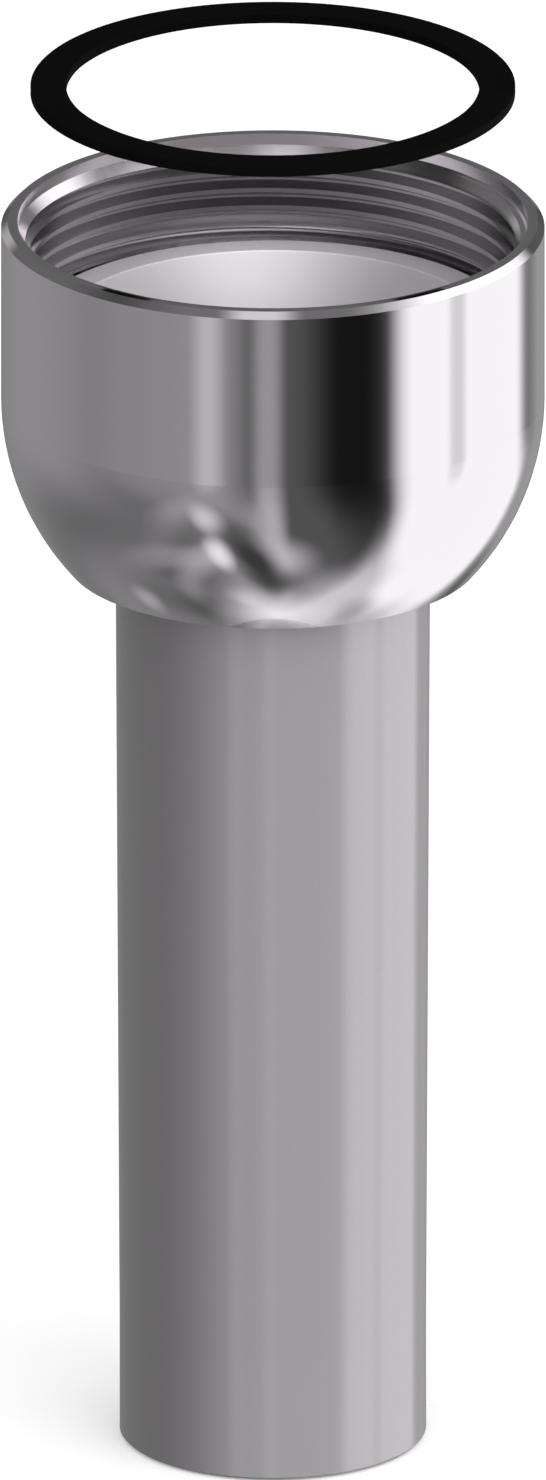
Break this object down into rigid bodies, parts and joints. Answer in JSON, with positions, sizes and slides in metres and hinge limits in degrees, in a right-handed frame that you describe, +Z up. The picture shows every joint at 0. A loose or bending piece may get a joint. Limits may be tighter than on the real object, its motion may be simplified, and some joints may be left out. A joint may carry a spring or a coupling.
{
  "type": "flush valve outlet connector",
  "caption": "Upright outlet tube with a flared, flanged head held in a bell-shaped union nut with an internal thread, and a flat sealing washer lifted out above it.",
  "frame": {"origin": "centre of the tube's lower end, on which the part stands", "axes": "+Z up along the tube, towards the mouth of the nut; X and Y are free, as the part is round"},
  "size_m": [0.0658, 0.0658, 0.173],
  "materials": {
    "tube_plating": "satin chrome plate on brass",
    "nut_plating": "polished chrome plate on brass",
    "washer_rubber": "smooth black rubber"
  },
  "bodies": {
    "outlet_tube": {"outlet_tube": "tube_plating"},
    "coupling_nut": {"coupling_nut": "nut_plating"},
    "sealing_washer": {"sealing_washer": "washer_rubber"}
  },
  "joints": [
    {"name": "nut_spin", "type": "hinge", "parent": "outlet_tube", "child": "coupling_nut", "pos_m": [0, 0, 0.1133], "axis": [0, 0, 1], "continuous": true},
    {"name": "washer_lift", "type": "slide", "parent": "outlet_tube", "child": "sealing_washer", "axis": [0, 0, 1], "range_m": [-0.0292, 0]}
  ]
}
